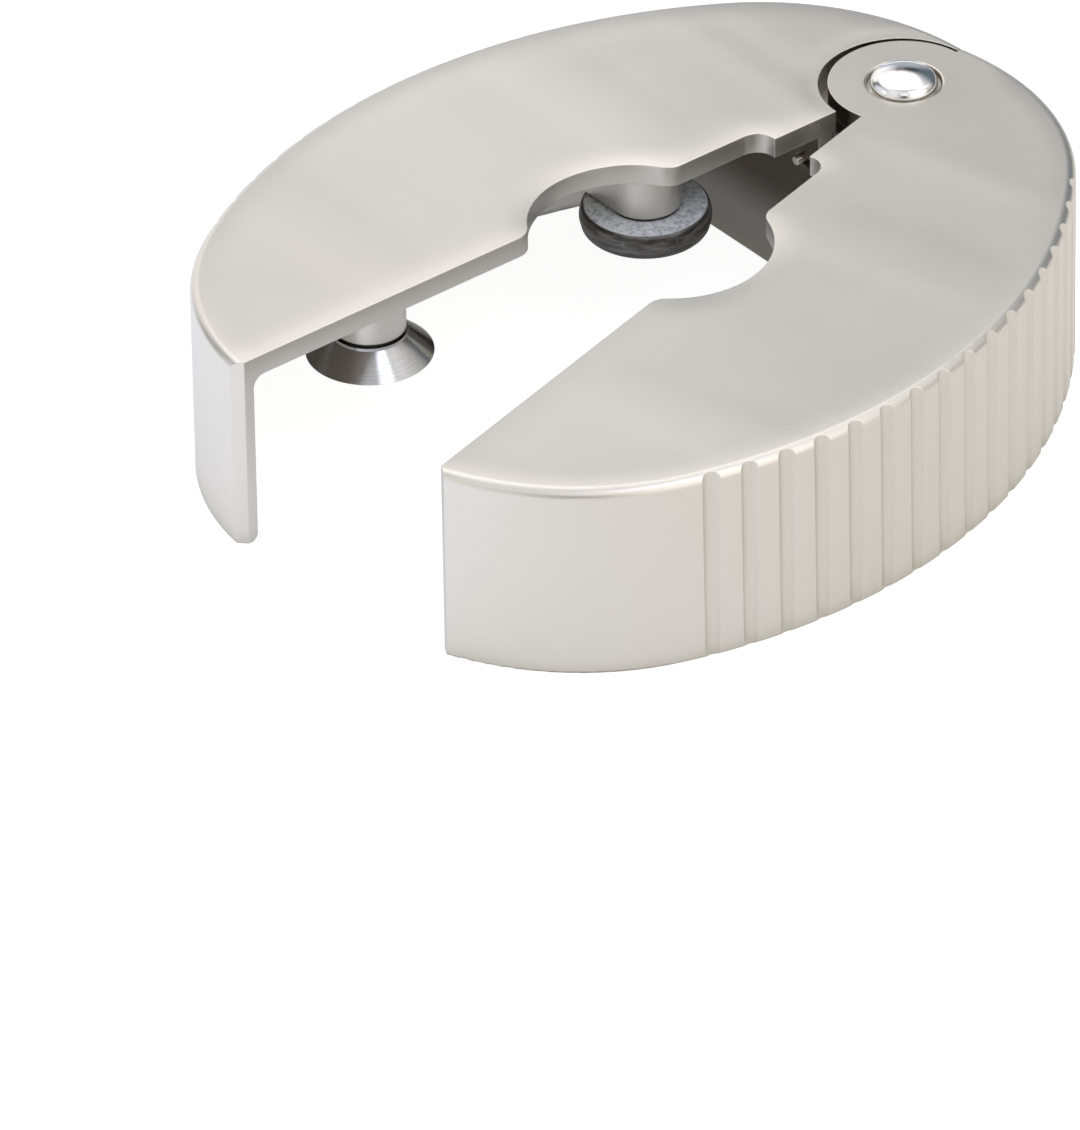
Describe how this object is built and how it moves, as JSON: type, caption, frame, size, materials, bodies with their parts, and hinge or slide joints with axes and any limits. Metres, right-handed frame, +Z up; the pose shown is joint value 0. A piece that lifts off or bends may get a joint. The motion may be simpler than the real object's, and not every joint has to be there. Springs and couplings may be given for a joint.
{
  "type": "foil cutter",
  "caption": "Oval sprung wine foil cutter: hinged cast halves with flutes for grip, squeezed round a bottle neck so that cutting wheels and guide rollers turn on the capsule.",
  "frame": {"origin": "on the floor under the middle of the open cutter: bottom centre of its bounding box at rest", "axes": "+Z up through the flat plates, -X out of the open jaw along its middle, the hinge axis at X = 32.4925 mm, Y = 0; the left half is on +Y"},
  "size_m": [0.0812, 0.0688, 0.0204],
  "materials": {
    "shell": "satin nickel plate on a zinc casting",
    "polished_steel": "polished",
    "turned_steel": "turned and hardened",
    "plain_steel": "turned",
    "spring_steel": "drawn wire",
    "brass": "turned",
    "nylon": "moulded",
    "acetal": "turned",
    "rubber": "cut from tube"
  },
  "bodies": {
    "right_half": {"right_shell": "shell", "right_cutter_washer": "nylon", "right_cutter_screw": "plain_steel", "right_roller_washer": "nylon", "right_roller_screw": "plain_steel", "hinge_rivet": "polished_steel", "hinge_washer": "nylon", "spring_sleeve": "brass", "tail_washer": "plain_steel", "hinge_spring": "spring_steel"},
    "left_half": {"left_shell": "shell", "left_cutter_washer": "nylon", "left_cutter_screw": "plain_steel", "left_roller_washer": "nylon", "left_roller_screw": "plain_steel"},
    "left_cutter": {"left_cutting_wheel": "turned_steel"},
    "right_cutter": {"right_cutting_wheel": "turned_steel"},
    "left_roller": {"left_roller_tyre": "rubber", "left_roller_hub": "acetal"},
    "right_roller": {"right_roller_tyre": "rubber", "right_roller_hub": "acetal"}
  },
  "joints": [
    {"name": "jaw_hinge", "type": "hinge", "parent": "right_half", "child": "left_half", "pos_m": [0.03249, 0, 0.015], "axis": [0, 0, 1], "range_deg": [0, 15.2], "stiffness_Nm_per_rad": 0.4, "springref_deg": -20.05, "deforming": ["hinge_spring"]},
    {"name": "left_cutter_spin", "type": "hinge", "parent": "left_half", "child": "left_cutter", "pos_m": [-0.02086, 0.01525, 0.01], "axis": [0, 0, 1], "continuous": true},
    {"name": "right_cutter_spin", "type": "hinge", "parent": "right_half", "child": "right_cutter", "pos_m": [-0.02086, -0.01525, 0.01], "axis": [0, 0, 1], "continuous": true},
    {"name": "left_roller_spin", "type": "hinge", "parent": "left_half", "child": "left_roller", "pos_m": [0.01036, 0.01108, 0.01], "axis": [0, 0, 1], "continuous": true},
    {"name": "right_roller_spin", "type": "hinge", "parent": "right_half", "child": "right_roller", "pos_m": [0.01036, -0.01108, 0.01], "axis": [0, 0, 1], "continuous": true}
  ]
}
